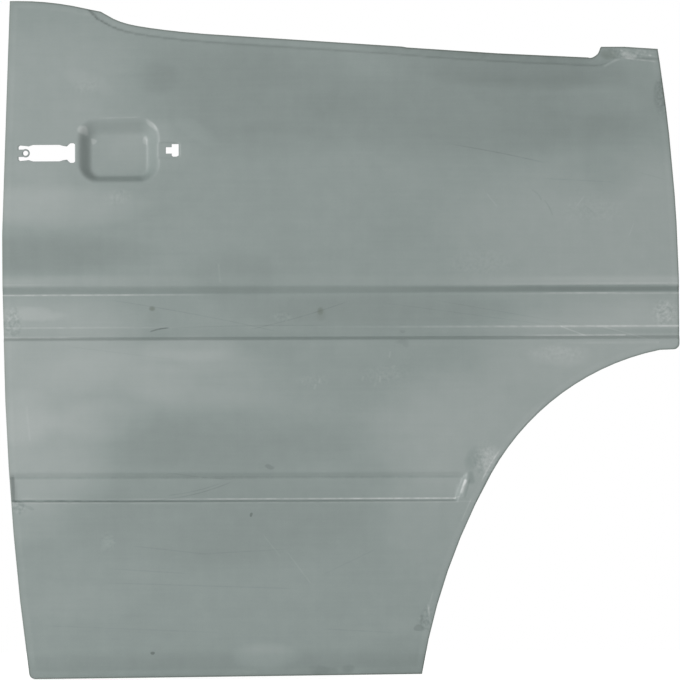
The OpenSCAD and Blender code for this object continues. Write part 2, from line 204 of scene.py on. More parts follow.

# Scratches and rubbed lines, and some lines of painted highlight and painted shade: start and end
# (x, z), bow, half width, and how much lighter or darker
SCRATCHES_AND_PAINTED_LINES = [
    ((302.9, 722.4), (433.4, 696.1), 1.4, 1.22, -0.14),
    ((425.2, 675.7), (529.9, 669.9), 0, 1.09, -0.07),
    ((558.5, 683.4), (599.2, 672.3), 0, 1.09, -0.07),
    ((-228.5, 451.1), (-65.4, 430), 0, 1.22, -0.06),
    ((-167.1, 513.4), (77.6, 466.2), 2.7, 1.09, -0.1),
    ((23.2, 470.5), (166.1, 510.8), -2.7, 1.09, -0.12),
    ((-107.4, 468.8), (-78.8, 474.4), 1.4, 1.5, -0.4),
    ((-85.6, 473.9), (138.8, 476.9), 1.4, 1.09, -0.1),
    ((206.9, 507.9), (451.6, 474.3), 0, 0.95, -0.07),
    ((274.9, 511.7), (567.1, 460.3), 0, 0.95, -0.07),
    ((-106.9, 239.8), (7.4, 266.6), -5.4, 1.22, -0.16),
    ((-86.5, 246.5), (-8.9, 263.9), -2.7, 1.09, -0.12),
    ((-82.3, 277.8), (10.2, 267.9), -1.4, 1.09, -0.09),
    ((-134.3, 178.7), (-22.9, 166), 0, 1.22, -0.08),
    ((-52.8, 166.2), (86, 173.8), 0, 1.22, -0.07),
    ((-164.4, 147.5), (-52.9, 140.3), 0, 1.22, -0.07),
    ((-178.1, 128.5), (99.4, 119.3), 0, 1.22, -0.08),
    ((-259.9, 70.4), (-5.6, 59.9), 0, 1.22, -0.06),
    ((123.6, 64.8), (227, 59), 0, 1.22, -0.07),
    ((123.9, 136.9), (202.9, 174.7), 0, 1.22, -0.06),
    ((45.2, 194.3), (71, 161.6), 0, 1.36, 0.07),
    ((76.4, 172.5), (114.3, 122), 0, 1.36, 0.08),
    ((411.5, 660.8), (426.4, 644.4), 2.7, 1.63, -0.1),
    ((429.1, 647.1), (441.3, 624), 1.4, 1.63, -0.12),
    ((483.5, 640.1), (497.1, 627.8), 0, 1.63, -0.12),
    ((350.3, 656.9), (366.5, 636.5), 0, 1.5, 0.1),
    ((471.2, 634.7), (484.9, 652.4), 0, 1.5, 0.1),
    ((544.5, 596.4), (551.4, 615.4), 0, 1.36, 0.09),
    ((-13.2, 563.1), (-10.6, 534.6), 0, 2.18, 0.09),
    ((-275.1, 371), (-269.8, 319.3), 0, 2.45, 0.09),
    ((448.9, 475.7), (488.3, 460.6), 0, 1.36, 0.26),
    ((503.3, 475.5), (573.9, 456.2), 0, 1.36, 0.14),
    ((269.3, 99.6), (273.3, 69.7), 0, 2.18, 0.22),
    ((510.1, 826.3), (540, 839.8), 1.4, 2.45, 0.2),
    ((537.3, 839.4), (584.9, 833.7), 0, 1.63, 0.3),
    ((553.6, 845.2), (583.5, 841), 0, 1.09, 0.12),
    ((553.7, 850), (582.2, 846.5), 0, 0.95, 0.1),
    # Painted shade over the set-in wall and the flange above the crease, darker towards the front
    ((160.6, 857.6), (507.4, 833.8), -1.4, 8.16, -0.13),
    # Painted highlight on the swage's slanted front end wall, and a darker strip just in front of
    # it
    ((322.2, 268.1), (315, 247.2), 0, 3.26, 0.62),
    ((322.2, 268.6), (318.2, 257.2), 0, 2.72, 0.35),
    ((327.7, 269.4), (319.5, 240.9), 0, 2.18, -0.18),
    ((303.8, 241.5), (313.4, 244.2), 0, 1.36, 0.3),
    # Painted shade on the swage's rear end wall
    ((-293.9, 273.1), (-293.2, 237.8), 0, 2.18, -0.1),
    ((369.4, 308.7), (342.8, 263.9), -1.4, 1.77, 0.3),
    ((329.7, 242.2), (314.6, 208.3), 0, 1.36, 0.16),
    ((277.5, 118.7), (269.2, 86), 0, 1.36, 0.14),
    ((430.8, 375.1), (383, 325), 1.4, 1.36, 0.1),
    # Painted shade on the band's upper step and a painted highlight at its foot, on the front part
    ((370.2, 529.6), (612.3, 530.3), 0, 1.5, -0.16),
    ((424.6, 520.1), (533.4, 520.2), 0, 1.22, 0.26),
    ((116.2, 389.9), (118.9, 397.4), 0, 2.04, 0.16),
    ((122.7, 398), (124.4, 405.5), 0, 1.77, 0.14),
    ((99.1, 398.8), (103.2, 406.3), 0, 2.45, 0.08),
    ((197.5, 393.7), (200.5, 399.8), 0, 2.04, 0.14),
    ((205.1, 399.1), (206.5, 409.3), 0, 1.77, 0.17),
    ((181.4, 401.2), (183.4, 408.7), 0, 2.45, 0.08),
    ((218.3, 432.4), (220, 441.9), 0, 1.77, 0.12),
    ((221.5, 418.1), (227, 422.8), 0, 2.72, 0.08),
    # Painted highlight along the upper rim of the finger recess
    ((-177, 759.6), (-115.8, 761), 0, 1.22, 0.13),
    ((374.8, 307.3), (331.8, 225.9), -2.7, 2.04, -0.2),
]

# Lines along the bends, painted highlights where lighter and painted shade where darker: height,
# half height, two places along the sheet and how much lighter or darker the line is at each, and
# where the line stops
LEVELS = [
    (519.3, 1.5, -180, 20, 0.5, 0.0, 700),
    (519.5, 1.4, 380, 500, 0.0, 0.12, 700),
    (519.0, 1.5, 250, 600, 0.0, 0.14, 700),
    (537.0, 12.0, -305, 30, 0.15, 0.05, 700),
    (534.5, 9.0, -300, -200, 0.1, 0.0, 700),
    (533.6, 1.6, -305, -180, 0.07, 0.0, 700),
    (536.0, 9.0, 240, 600, 0.0, 0.15, 700),
    (532.8, 1.6, 240, 600, 0.0, 0.12, 700),
    (528.8, 2.4, -305, -180, -0.06, 0.0, 700),
    (525.3, 5.0, 200, 500, 0.0, -0.11, 700),
    (525.5, 5.8, 30, 560, 0.0, -0.3, 700),
    (475.0, 1.8, -305, 0, 0.24, 0.03, 700),
    (474.7, 2.0, 60, 560, 0.0, 0.45, 700),
    (461.4, 2.0, -260, -160, 0.38, 0.0, 700),
    (462.4, 1.4, 380, 450, 0.0, 0.42, 540),
    (468.0, 5.0, 380, 560, 0.0, -0.13, 700),
    (457.3, 1.4, 150, 400, 0.0, -0.1, 700),
    (452.4, 2.4, 430, 500, 0.0, 0.12, 585),
    (270.9, 2.6, -300, 300, -0.14, -0.12, 318),
    (243.1, 1.4, -300, -160, 0.1, 0.0, 700),
    (241.8, 1.4, -250, 230, 0.05, 0.72, 308),
    (240.5, 1.4, -300, -110, -0.3, 0.0, 700),
    (239.2, 1.5, -250, 60, -0.3, -0.14, 309),
    (237.5, 1.4, -270, -60, 0.24, 0.08, 700),
    (236.6, 1.4, -250, 230, 0.12, 0.12, 312),
]

# Olive-brown stains: middle (x, z), half length, half height, strength
STAINS = [
    (-103.4, 500.6, 5.4, 4.2, 0.4),
    (-101, 490, 12, 13, 0.05),
    (125, 496.5, 5, 7, 0.22),
    (126, 492, 8, 12, 0.12),
    (519, 844, 15, 9, 0.16),
]

# Heights at which one stretch of the sheet ends and the next begins. Each has its own marks, and
# those that lie within MARK_SPARE millimetres of it.
STRETCHES = [("primed_steel_foot", -50, 232), ("primed_steel_lower", 232, 455),
             ("primed_steel_band", 455, 552), ("primed_steel_upper", 552, 1000)]
MARK_SPARE = 24

# Primer's colour by its tone, from 0 (bare, dirty and painted shade) over 1 (plain) to 2 (burnished
# and painted highlights)
PRIMER_TONES = [
    (0.0, (0.012, 0.02, 0.017, 1)),
    (0.5, (0.134, 0.164, 0.155, 1)),
    (1.0, (0.286, 0.335, 0.322, 1)),
    (1.5, (0.465, 0.505, 0.492, 1)),
    (2.0, (0.66, 0.69, 0.68, 1)),
]
# Olive-brown of the stains, also the tint of the painted shade along the hem's bend
STAIN_AND_BEND_SHADE_COLOUR = (0.062, 0.078, 0.034, 1)
WHITE = (1, 1, 1, 1)


def soft_corner(t, half_width):
    """A ramp that starts at t = 0, its corner rounded over half_width on either side."""
    if t <= -half_width:
        return 0.0
    if t >= half_width:
        return t
    return (t + half_width) ** 2 / (4 * half_width)


def smooth(t):
    """0 to 1 with level ends."""
    t = min(max(t, 0.0), 1.0)
    return t * t * (3 - 2 * t)


def mix(a, b, t):
    return a + (b - a) * t


def crown_y(z):
    """How far the crown draws the face back at a height."""
    return CROWN_R - sqrt(CROWN_R ** 2 - (z - CROWN_Z) ** 2)


def face_y(x, z):
    """Depth of the plain curved face, which is bowed in plan and crowned in height."""
    return PLAN_R - sqrt((PLAN_R - crown_y(z)) ** 2 - (x - PLAN_X) ** 2)


ORIGIN_Y = face_y(0, 0) + LOWER_SETBACK + HEM_DEPTH / 2


def band_bends():
    """Bends of the band as (height, change of slope, half width of the bend)."""
    foot = BAND_TOP_Z - BAND_H
    groove = foot - GROOVE_H
    lead = 0.1
    lead_h = 8.0
    step = (BAND_DEPTH - lead * (lead_h + BAND_STEP_H)) / BAND_STEP_H
    rise_h = 4.6
    floor = GROOVE_DEPTH / (GROOVE_H - rise_h)
    rise = (BAND_DEPTH + GROOVE_DEPTH - LOWER_SETBACK) / rise_h
    return [
        (BAND_TOP_Z + lead_h, lead, 7.0),
        (BAND_TOP_Z, step, 1.8),
        (BAND_TOP_Z - BAND_STEP_H, -step - lead, 1.4),
        (foot, floor, 2.0),
        (groove + rise_h, -floor - rise, 0.9),
        (groove, rise, 1.2),
    ]


BAND_BENDS = band_bends()


def band(z):
    """Depth of the band, and of the lower panel below it."""
    return sum(turn * soft_corner(height - z, half) for height, turn, half in BAND_BENDS)


def rear_x(z):
    """Rear edge of the panel at a height."""
    bulge_z, low_z = 594.0, -3.0
    top_sweep, top_power = 11.0, 1.3
    foot_sweep, foot_power = 35.0, 2.3
    if z > bulge_z:
        return -REAR_REACH + top_sweep * ((z - bulge_z) / (PANEL_H - bulge_z)) ** top_power
    return -REAR_REACH + foot_sweep * ((bulge_z - z) / (bulge_z - low_z)) ** foot_power


def swage(x, z):
    """Depth of the lower swage below the lower panel."""
    top_slope_h, top_lead = 9.0, 1.0
    ledge_h, ledge_lead = 3.5, 0.3
    wall = 5.2
    spare = 3.0
    low_z = SWAGE_TOP_Z - SWAGE_H
    if not low_z - spare < z < SWAGE_TOP_Z + spare:
        return 0.0
    from_top = (SWAGE_TOP_Z + top_lead - z) / top_slope_h
    from_foot = (z - low_z + ledge_lead) / ledge_h
    from_rear = (x - rear_x(z) - SWAGE_REAR_GAP) / wall
    middle = SWAGE_TOP_Z - SWAGE_H / 2
    from_front = ((SWAGE_FRONT_X - x) * cos(SWAGE_LEAN) + (z - middle) * sin(SWAGE_LEAN)) / wall
    ends = min(max(from_rear, 0), 1) * min(max(from_front, 0), 1)
    return SWAGE_DEPTH * smooth(from_top) * smooth(from_foot) * ends


def plane_y(x, z, dx, dz):
    """Depth, dx and dz away, of the flat plane that touches the curved face at a place."""
    return face_y(x, z) + (dx * (x - PLAN_X) / PLAN_R + dz * (z - CROWN_Z) / CROWN_R)


def in_round_box(x, z, w, h, r):
    """Distance outside a rounded rectangle centred on zero."""
    qx = abs(x) - w / 2 + r
    qz = abs(z) - h / 2 + r
    return hypot(max(qx, 0), max(qz, 0)) + min(max(qx, qz), 0) - r


def recess_share(x, z):
    """How far down the wall of the recess a point lies: 0 at the rim, 1 at the floor. It is found
    by halving."""
    low, high = -0.15, 1.0
    halvings = 14

    def outside(s):
        w, h, r = (mix(a, b, s) for a, b in zip(RECESS_RIM, RECESS_FLOOR))
        return in_round_box(x, z + RECESS_DROP * s, w, h, r)

    if outside(high) <= 0:
        return high
    if outside(low) >= 0:
        return low
    for _ in range(halvings):
        half = (low + high) / 2
        if outside(half) <= 0:
            low = half
        else:
            high = half
    return low


def wall_profile(s):
    """Depth share of the recess wall, with a soft rim and a soft foot."""
    rim_slope = 0.4
    softness = 0.75
    if s <= 0:
        return s * rim_slope
    return mix(s, smooth(s), softness)


def recess_y(x, z):
    """Depth of the recess surface, or None well outside it."""
    spare, spare_r = 8.0, 30.0
    dx, dz = x - RECESS_X, z - RECESS_Z
    if in_round_box(dx, dz, RECESS_RIM[0] + spare, RECESS_RIM[1] + spare, spare_r) > 0:
        return None
    return plane_y(RECESS_X, RECESS_Z, dx, dz) + RECESS_DEPTH * wall_profile(recess_share(dx, dz))


def seat_y(x, z):
    """Depth of the flat seat round the key-shaped hole, or None outside it."""
    wall = 1.0
    dx, dz = x - SEAT_X, z - SEAT_Z
    inside = -in_round_box(dx, dz, SEAT_W, SEAT_H, SEAT_R)
    if inside <= 0:
        return None
    return plane_y(SEAT_X, SEAT_Z, dx, dz) + SEAT_DEPTH * min(inside / wall, 1)


def above_crease(x, z):
    """How far a place lies above the crease, measured square to it."""
    nearest = None
    for (x0, z0), (x1, z1) in zip(CREASE, CREASE[1:]):
        length = hypot(x1 - x0, z1 - z0)
        ux, uz = (x1 - x0) / length, (z1 - z0) / length
        along = min(max((x - x0) * ux + (z - z0) * uz, 0), length)
        away = hypot(x - x0 - along * ux, z - z0 - along * uz)
        if nearest is None or away < abs(nearest):
            side = (z - z0) * ux - (x - x0) * uz
            nearest = away if side > 0 else -away
    return nearest


def joggle(x, z):
    """How far the wall under the window sill is set in."""
    if z < SILL_LOW_Z:
        return 0.0
    return JOGGLE * min(max(above_crease(x, z) / JOGGLE_RUN, 0), 1)


def skin_y(x, z):
    """Depth of the outer face of the pressing at a place, in the frame of the part."""
    y = face_y(x, z)
    for pressed in (recess_y(x, z), seat_y(x, z)):
        if pressed is not None:
            y = max(y, pressed)
    y += band(z) + swage(x, z) + joggle(x, z)
    return y - ORIGIN_Y


def in_handle_holes(place):
    (x0, z0), (x1, z1) = HANDLE_HOLES
    return x0 < place.x / MM < x1 and z0 < place.z / MM < z1


def is_hemmed(place):
    """Whether the edge of the sheet is turned back there: everywhere but along the window sill."""
    x, z = place.x / MM, place.z / MM
    clear = -1.0
    return z < PANEL_H - HEM_DEPTH and (z < SILL_LOW_Z or above_crease(x, z) < clear)


def turn_rim(bm):
    """Rows along the outline for the bend of the hem, each with its depth behind the face."""
    bend = bm.verts.layers.float.new("bend")
    row = 0.0
    step = 30
    for angle in range(90, 0, -step):
        inner = [f for f in bm.faces if not f.tag]
        ring = {v for e in bm.edges if sum(not f.tag for f in e.link_faces) == 1 for v in e.verts}
        for vert in ring:
            if is_hemmed(vert.co):
                vert[bend] = HEM_BEND_R * (1 - cos(radians(angle)))
        next_row = HEM_BEND_R * (1 - sin(radians(angle - step)))
        made = bmesh.ops.inset_region(
            bm, faces=inner, use_boundary=True, use_even_offset=True,
            thickness=(next_row - row) * MM)
        for face in made["faces"]:
            face.tag = True
        row = next_row
    return bend


EDGE = "edge_mm"


def mark_edge(bm):
    """Each point's distance from the outline of the sheet, in millimetres, for the painted shade
    along the hem's bend and for the scuffed strip beside it.
    """
    outline = [e for e in bm.edges if e.is_boundary and not in_handle_holes(e.verts[0].co)]
    step = 1.0
    farthest = 30.0
    samples = [v0.co.lerp(v1.co, i / n) for v0, v1 in (e.verts for e in outline)
               for n in [max(1, round((v0.co - v1.co).length / MM / step))] for i in range(n)]
    tree = KDTree(len(samples))
    for i, sample in enumerate(samples):
        tree.insert((sample.x, 0, sample.z), i)
    tree.balance()
    away = bm.verts.layers.float.new(EDGE)
    for vert in bm.verts:
        vert[away] = min(tree.find((vert.co.x, 0, vert.co.z))[2] / MM, farthest)


def turn_hem(bm):
    """The flange behind the outline, drawn back from the rim in steps."""
    rim = [e for e in bm.edges if e.is_boundary
           and all(is_hemmed(v.co) and not in_handle_holes(v.co) for v in e.verts)]
    straight = HEM_DEPTH - HEM_BEND_R
    steps = 2
    for _ in range(steps):
        made = bmesh.ops.extrude_edge_only(bm, edges=rim)
        moved = [g for g in made["geom"] if isinstance(g, bmesh.types.BMVert)]
        rim = [g for g in made["geom"] if isinstance(g, bmesh.types.BMEdge)]
        bmesh.ops.translate(bm, verts=moved, vec=(0, straight / steps * MM, 0))


# Marks the faces that close the holes, and the set-in wall, while the sheet is laid out
HOLE = 1
WALL = 2


def front_patch(node):
    """The part's outer face as a flat sheet in X and Z, with its outline and holes."""
    outward, steep, wall_low_z = -0.15, -0.75, 820
    same_place, same_when_flat = 1e-6, 1e-4
    in_line = radians(1)
    bm = bmesh.new()
    bm.from_mesh(node.data)
    bmesh.ops.remove_doubles(bm, verts=bm.verts[:], dist=same_place)
    bmesh.ops.delete(bm, geom=[f for f in bm.faces if f.normal.y > outward], context="FACES")
    for face in bm.faces:
        if face.normal.y > steep and face.calc_center_median().z / MM > wall_low_z:
            face.material_index = WALL
    for vert in bm.verts:
        vert.co.y = 0
    bmesh.ops.remove_doubles(bm, verts=bm.verts[:], dist=same_when_flat)
    holes = [e for e in bm.edges if e.is_boundary and all(in_handle_holes(v.co) for v in e.verts)]
    for face in bmesh.ops.holes_fill(bm, edges=holes, sides=0)["faces"]:
        face.material_index = HOLE
    bmesh.ops.recalc_face_normals(bm, faces=bm.faces[:])
    bmesh.ops.dissolve_limit(
        bm, angle_limit=in_line, use_dissolve_boundaries=False,
        verts=bm.verts[:], edges=bm.edges[:], delimit={"MATERIAL"})
    return bm


def stations(start, *stretches):
    """Places from start on at even steps. Each stretch is given by its end and about its step."""
    found = []
    for end, step in stretches:
        count = max(1, round((end - start) / step))
        found += [mix(start, end, i / count) for i in range(count)]
        start = end
    return found


def grid_lines():
    """Where the sheet is cut along X and Z: even steps, finer where it bends sharply."""
    band_low = BAND_TOP_Z - BAND_H - GROOVE_H
    swage_low = SWAGE_TOP_Z - SWAGE_H
    foot_z, sill_z, top_z = -4, 820, 925
    rear, front_part, front = -310, 480, 616
    spare = 6
    recess_low = RECESS_Z - RECESS_RIM[1] / 2 - spare
    recess_high = RECESS_Z + RECESS_RIM[1] / 2 + spare
    recess_rear = RECESS_X - RECESS_RIM[0] / 2 - spare
    seat_front = SEAT_X + SEAT_W / 2
    heights = stations(
        foot_z, (swage_low - 3, 7), (swage_low + 6, 0.9), (SWAGE_TOP_Z - 9, 5),
        (SWAGE_TOP_Z + 3, 1.5), (band_low - 3, 7), (band_low + 9, 0.9), (band_low + 17, 2.7),
        (band_low + 23, 1),
        (BAND_TOP_Z - 13, 5), (BAND_TOP_Z - 8, 0.8), (BAND_TOP_Z - 2, 2), (BAND_TOP_Z + 2, 0.8),
        (BAND_TOP_Z + 16, 2.8), (recess_low, 7), (recess_high, 2), (sill_z, 6), (top_z, 3))
    places = stations(
        rear, (recess_rear, 6), (seat_front - 1, 2), (seat_front + 1, 1), (front_part, 7),
        (front, 5))
    return places, heights


def cut(bm, faces, place, normal):
    """Cuts the faces by a plane through a place, given in millimetres."""
    edges = {e for f in faces for e in f.edges}
    verts = {v for e in edges for v in e.verts}
    bmesh.ops.bisect_plane(
        bm, geom=[*faces, *edges, *verts], dist=1e-5, plane_co=Vector(place) * MM, plane_no=normal)


def cut_grid(bm):
    places, heights = grid_lines()
    for x in places:
        cut(bm, bm.faces[:], (x, 0, 0), (1, 0, 0))
    for z in heights:
        cut(bm, bm.faces[:], (0, 0, z), (0, 0, 1))


def cut_swage_ends(bm):
    """Rows across both end walls of the swage, the front one slanted."""
    reach, spare = 22, 4
    middle = SWAGE_TOP_Z - SWAGE_H / 2
    rear = rear_x(middle) + SWAGE_REAR_GAP
    lean = Vector((-cos(SWAGE_LEAN), 0, sin(SWAGE_LEAN)))
    for inset in (-0.4, 0.8, 1.9, 3.2, 4.4, 5.4):
        for x, inward in ((rear, Vector((1, 0, 0))), (SWAGE_FRONT_X, lean)):
            near = []
            for face in bm.faces:
                centre = face.calc_center_median() / MM
                if abs(centre.x - x) < reach and abs(centre.z - middle) < SWAGE_H / 2 + spare:
                    near.append(face)
            cut(bm, near, Vector((x, 0, middle)) + inward * inset, inward)


def face_out(bm):
    """Turns the sheet's faces alike, with the outer side towards -Y."""
    bmesh.ops.recalc_face_normals(bm, faces=bm.faces[:])
    if sum(f.normal.y for f in bm.faces) > 0:
        bmesh.ops.reverse_faces(bm, faces=bm.faces[:])


def build_skin(node):
    """The pressing: the part's outline and holes, laid out flat, cut fine, pressed to its depths,
    hemmed and given its thickness."""
    same_place, too_short = 2e-5, 1e-5
    sharp = radians(50)
    bm = front_patch(node)
    bend = turn_rim(bm)
    cut_grid(bm)
    cut_swage_ends(bm)
    bmesh.ops.delete(bm, geom=[f for f in bm.faces if f.material_index == HOLE], context="FACES")
    face_out(bm)
    for vert in bm.verts:
        vert.co.y = (skin_y(vert.co.x / MM, vert.co.z / MM) + vert[bend]) * MM
    bmesh.ops.remove_doubles(bm, verts=bm.verts[:], dist=same_place)
    bmesh.ops.dissolve_degenerate(bm, dist=too_short, edges=bm.edges[:])
    mark_edge(bm)
    turn_hem(bm)
    face_out(bm)
    mesh = bpy.data.meshes.new("door_skin_pressing")
    bm.to_mesh(mesh)
    bm.free()
    piece = bpy.data.objects.new("door_skin_pressing", mesh)
    thicken = piece.modifiers.new("sheet thickness", "SOLIDIFY")
    thicken.thickness = SHEET_T * MM
    thicken.offset = -1
    thicken.use_rim = True
    bpy.context.scene.collection.objects.link(piece)
    mesh.shade_smooth()
    mesh.set_sharp_from_angle(angle=sharp)
    return piece


class Wiring:
    """Puts nodes into a tree and joins them; each call gives one output of the new node."""

    def __init__(self, tree):
        self.tree = tree

    def put(self, kind, inputs, out=0, **settings):
        node = self.tree.nodes.new(kind)
        for name, value in settings.items():
            setattr(node, name, value)
        for key, value in inputs.items():
            if isinstance(value, bpy.types.NodeSocket):
                self.tree.links.new(value, node.inputs[key])
            else:
                node.inputs[key].default_value = value
        return node.outputs[out]

    def math(self, operation, *values):
        return self.put("ShaderNodeMath", dict(enumerate(values)), operation=operation)

    def ramp(self, value, start, end, low, high):
        """The value low up to start and high from end on, with a soft change between."""
        return self.put("ShaderNodeMapRange", {
            "Value": value, "From Min": start, "From Max": end, "To Min": low, "To Max": high,
        }, interpolation_type="SMOOTHSTEP")

    def noise(self, vector, scale, detail, low, high):
        """Noise as a value that mostly lies between low and high."""
        usual_low, usual_high = 0.3, 0.7
        grey = self.put("ShaderNodeTexNoise", {"Vector": vector, "Scale": scale, "Detail": detail})
        return self.put("ShaderNodeMapRange", {
            "Value": grey, "From Min": usual_low, "From Max": usual_high,
            "To Min": low, "To Max": high})


def new_group(name, inputs, output, kind="NodeSocketFloat"):
    """An empty node group: its wiring, its inlet, and a call that fills its outlet."""
    tree = bpy.data.node_groups.new(name, "ShaderNodeTree")
    for label, value in inputs.items():
        inner = "NodeSocketVector" if isinstance(value, tuple) else "NodeSocketFloat"
        socket = tree.interface.new_socket(name=label, in_out="INPUT", socket_type=inner)
        socket.default_value = value
    tree.interface.new_socket(name=output, in_out="OUTPUT", socket_type=kind)
    inlet = tree.nodes.new("NodeGroupInput").outputs
    outlet = tree.nodes.new("NodeGroupOutput").inputs
    return Wiring(tree), inlet, lambda value: tree.links.new(value, outlet[output])


def mark_group(name, inputs):
    """A group for one kind of mark. Its Sheet is the place in X and Z with the tone in its Y, and
    it passes the Sheet on with the tone changed. The place's X and Z are given too."""
    w, get, give = new_group(name, {"Sheet": (0, 0, 0), **inputs}, "Sheet", "NodeSocketVector")
    x = w.put("ShaderNodeSeparateXYZ", {0: get["Sheet"]}, "X")
    tone, z = x.node.outputs["Y"], x.node.outputs["Z"]

    def finish(shape, amount):
        changed = w.math("MULTIPLY_ADD", shape, amount, tone)
        give(w.put("ShaderNodeCombineXYZ", {"X": x, "Y": changed, "Z": z}))
        return w.tree

    return w, get, finish, x, z


# Where a mark lies: its middle, and its length and width as in laid()
LAID = {"Middle": (0, 0, 0), "Along": (1, 0, 0), "Across": (0, 0, 1)}


def laid(x, z, turn, half_length, half_width):
    """Inputs for a mark's middle and its two directions, each divided by its half size."""
    return {"Middle": (x, 0, z),
            "Along": (cos(turn) / half_length, 0, sin(turn) / half_length),
            "Across": (-sin(turn) / half_width, 0, cos(turn) / half_width)}


def laid_on(w, get):
    """The place as seen from the middle of a mark, in half lengths and half widths of it."""
    away = w.put("ShaderNodeVectorMath", {0: get["Sheet"], 1: get["Middle"]}, operation="SUBTRACT")
    return [w.put("ShaderNodeVectorMath", {0: away, 1: get[way]}, "Value", operation="DOT_PRODUCT")
            for way in ("Along", "Across")]


def patch_group():
    """A round or oval patch that fades out from its core."""
    w, get, finish, *_ = mark_group(
        "soft patch", {**LAID, "Core": 0.1, "Breaks": 1.0, "Amount": 0.1})
    along, across = laid_on(w, get)
    squared = w.math("MULTIPLY_ADD", along, along, w.math("MULTIPLY", across, across))
    shape = w.ramp(squared, get["Core"], 1.0, 1.0, 0.0)
    return finish(w.math("MULTIPLY", shape, get["Breaks"]), get["Amount"])


def scratch_and_painted_line_group():
    """A thin line, straight or bowed, that fades out at its ends."""
    w, get, finish, *_ = mark_group(
        "scratch and painted line", {**LAID, "Bow": 0.0, "Breaks": 1.0, "Amount": 0.1})
    along, across = laid_on(w, get)
    squared = w.math("MULTIPLY", along, along)
    bowed = w.math("MULTIPLY", get["Bow"], w.math("SUBTRACT", 1.0, squared))
    across = w.math("ABSOLUTE", w.math("SUBTRACT", across, bowed))
    shape = w.math(
        "MULTIPLY", w.ramp(across, 0.2, 1.0, 1.0, 0.0), w.ramp(squared, 0.5, 1.0, 1.0, 0.0))
    return finish(w.math("MULTIPLY", shape, get["Breaks"]), get["Amount"])


def level_group():
    """A level line, a painted highlight when lighter and painted shade when darker. Its strength
    changes along the sheet, up to the place where it stops.
    """
    w, get, finish, x, z = mark_group("line along a bend", {
        "Height": 0.0, "Half height": 1.0, "Rear": 0.0, "Front": 1.0,
        "Rear amount": 0.0, "Front amount": 0.0, "Stop": 700.0, "Breaks": 1.0})
    away = w.math("ABSOLUTE", w.math("SUBTRACT", z, get["Height"]))
    line = w.ramp(w.math("DIVIDE", away, get["Half height"]), 0.3, 1.0, 1.0, 0.0)
    amount = w.ramp(x, get["Rear"], get["Front"], get["Rear amount"], get["Front amount"])
    ended = w.put("ShaderNodeMath", {0: x, 1: get["Stop"]}, operation="LESS_THAN")
    return finish(w.math("MULTIPLY", w.math("MULTIPLY", line, get["Breaks"]), ended), amount)


def edge_group():
    """Painted shade along the hem's bend, which turns away from the light, with a scuffed strip
    beside it.
    """
    w, get, give = new_group("edge shade and scuff", {
        "Tone": 1.0, "Edge": 0.0, "Breaks": 1.0, "Bend shade": 0.2, "Scuff": 0.1}, "Tone")
    dull = w.math("MULTIPLY", w.ramp(get["Edge"], 0.6, 2.8, 1.0, 0.0), get["Bend shade"])
    strip = w.math("MULTIPLY", w.ramp(get["Edge"], 3.0, 6.0, 0.0, 1.0),
                   w.ramp(get["Edge"], 8.0, 12.0, 1.0, 0.0))
    scuff = w.math("MULTIPLY", w.math("MULTIPLY", strip, get["Breaks"]), get["Scuff"])
    give(w.math("ADD", get["Tone"], w.math("SUBTRACT", scuff, dull)))
    return w.tree


def grain_group():
    """Zinc primer's own unevenness: clouds, mottling, a fine grain and faint brushing both ways."""
    w, get, give = new_group("zinc grain", {"Place": (0, 0, 0)}, "Tone")
    tone = 1.0
    for scale, detail, amount in ((0.008, 3, 0.03), (0.05, 4, 0.02), (0.8, 3, 0.02)):
        tone = w.math("ADD", tone, w.noise(get["Place"], scale, detail, -amount, amount))
    for size, amount in (((0.12, 0.12, 0.006), 0.008), ((0.006, 0.2, 0.2), 0.012)):
        brushed = w.put("ShaderNodeVectorMath", {0: get["Place"], 1: size}, operation="MULTIPLY")
        tone = w.math("ADD", tone, w.noise(brushed, 1.0, 3, -amount, amount))
    give(tone)
    return w.tree


def add_marks(w, sheet, marks, group, breaks, reach):
    """Marks of one kind, laid over each other, without those that lie above or below the reach."""
    for height, half_height, inputs in marks:
        if reach[0] < height + half_height and height - half_height < reach[1]:
            sheet = w.put(
                "ShaderNodeGroup", {"Sheet": sheet, "Breaks": breaks, **inputs}, node_tree=group)
    return sheet


def patch_marks(rows):
    """Each patch as its height, half height and inputs."""
    return [(z, half_l if turn else half_h, {
        **laid(x, z, -radians(turn), half_l, half_h), "Core": core, "Amount": amount,
    }) for x, z, half_l, half_h, turn, core, amount in rows]


def plain_patch_marks(rows):
    """The same for rows of patches that aren't turned and fade from their middle."""
    turn, core = 0, 0.0
    return patch_marks([(x, z, half_l, half_h, turn, core, amount)
                        for x, z, half_l, half_h, amount in rows])


def scratch_and_painted_line_marks():
    """Each of these lines, painted light or not, as its height, half height and inputs."""
    marks = []
    for (x0, z0), (x1, z1), bow, half_w, amount in SCRATCHES_AND_PAINTED_LINES:
        x, z, turn = (x0 + x1) / 2, (z0 + z1) / 2, atan2(z1 - z0, x1 - x0)
        marks.append((z, abs(z1 - z0) / 2 + abs(bow) + half_w, {
            **laid(x, z, turn, hypot(x1 - x0, z1 - z0) / 2, half_w),
            "Bow": bow / half_w, "Amount": amount}))
    return marks


def level_marks():
    """Each line as its height, half height and inputs. Only a thin line is broken up."""
    wide, whole = 3.0, 0.8
    marks = []
    for height, half_h, rear, front, rear_amount, front_amount, stop in LEVELS:
        inputs = {"Height": height, "Half height": half_h, "Rear": rear, "Front": front,
                  "Rear amount": rear_amount, "Front amount": front_amount, "Stop": stop}
        if half_h > wide:
            inputs["Breaks"] = whole
        marks.append((height, half_h, inputs))
    return marks


